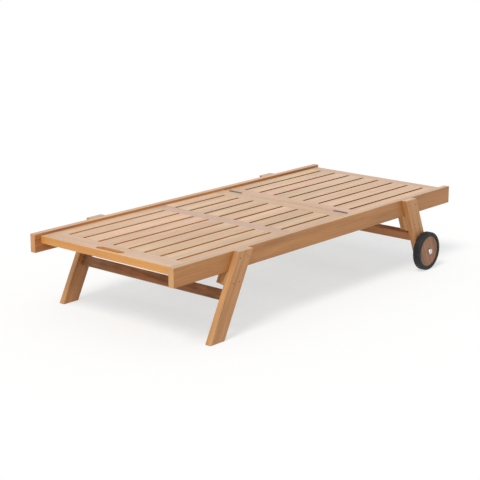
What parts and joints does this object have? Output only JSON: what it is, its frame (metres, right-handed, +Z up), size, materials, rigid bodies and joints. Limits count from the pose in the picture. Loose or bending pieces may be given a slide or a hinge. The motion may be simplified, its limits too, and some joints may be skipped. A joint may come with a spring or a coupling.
{
  "type": "chaise lounger",
  "caption": "Low slatted wooden chaise lounger with raked legs, a hinged back panel held by a prop and racks, a hand slot at the foot and wheels at the head end.",
  "frame": {"origin": "on the floor, under the middle of the frame", "axes": "+X from the foot end to the head end, +Z up, left side is -Y as seen by someone lying on it"},
  "size_m": [2, 1.01, 0.364],
  "materials": {
    "deck_wood": "oiled, planed slats",
    "frame_wood": "oiled, planed boards",
    "wheel_wood": "oiled, turned disc",
    "tyre_rubber": "matt black rubber",
    "cap_steel": "satin",
    "steel": "satin",
    "dark_steel": "dull, blackened",
    "bush_nylon": "plain"
  },
  "bodies": {
    "frame": {"axle_bolts": "steel", "axle_nuts": "steel", "axle_washers": "steel", "foot_board": "deck_wood", "front_block_left": "frame_wood", "front_block_right": "frame_wood", "front_leg_left": "frame_wood", "front_leg_right": "frame_wood", "front_slat_left": "deck_wood", "front_slat_right": "deck_wood", "front_slats": "deck_wood", "front_stretcher": "frame_wood", "head_rail": "frame_wood", "hinge_pins": "steel", "ledger_left": "frame_wood", "ledger_right": "frame_wood", "ledger_screws": "steel", "leg_screws": "dark_steel", "mid_board": "deck_wood", "rack_left": "frame_wood", "rack_right": "frame_wood", "rail_left": "frame_wood", "rail_right": "frame_wood", "rear_block_left": "frame_wood", "rear_block_right": "frame_wood", "rear_leg_left": "frame_wood", "rear_leg_right": "frame_wood", "rear_slat_left": "deck_wood", "rear_slat_right": "deck_wood", "rear_slats": "deck_wood", "rear_stretcher": "frame_wood", "seat_board": "deck_wood", "seat_cross_batten": "frame_wood", "seat_hinge_leaves": "steel", "seat_hinge_screws": "steel"},
    "backrest": {"back_board": "deck_wood", "head_board": "deck_wood", "back_slats": "deck_wood", "back_slat_left": "deck_wood", "back_slat_right": "deck_wood", "prop_batten_left": "frame_wood", "prop_batten_right": "frame_wood", "back_cross_batten": "frame_wood", "back_hinge_leaves": "steel", "back_hinge_screws": "steel", "batten_screws": "steel", "pivot_bolts": "steel", "pivot_washers": "steel", "pivot_nuts": "steel"},
    "prop": {"prop_arm_left": "frame_wood", "prop_arm_right": "frame_wood", "foot_bar": "frame_wood"},
    "wheel_left": {"tyre_left": "tyre_rubber", "disc_left": "wheel_wood", "bush_left": "bush_nylon", "hub_cap_left": "cap_steel"},
    "wheel_right": {"tyre_right": "tyre_rubber", "disc_right": "wheel_wood", "bush_right": "bush_nylon", "hub_cap_right": "cap_steel"}
  },
  "joints": [
    {"name": "back_hinge", "type": "hinge", "parent": "frame", "child": "backrest", "pos_m": [0.235, 0, 0.354], "axis": [0, -1, 0], "range_deg": [0, 65]},
    {"name": "prop_swing", "type": "hinge", "parent": "backrest", "child": "prop", "pos_m": [0.505, 0, 0.3], "axis": [0, 1, 0], "range_deg": [0, 114.5]},
    {"name": "wheel_left_spin", "type": "hinge", "parent": "frame", "child": "wheel_left", "pos_m": [0.73234, -0.478, 0.0935], "axis": [0, 1, 0], "continuous": true},
    {"name": "wheel_right_spin", "type": "hinge", "parent": "frame", "child": "wheel_right", "pos_m": [0.73234, 0.478, 0.0935], "axis": [0, 1, 0], "continuous": true}
  ],
  "couplings": [
    {"joint": "prop_swing", "follows": "back_hinge", "ratio": 1.7606}
  ]
}
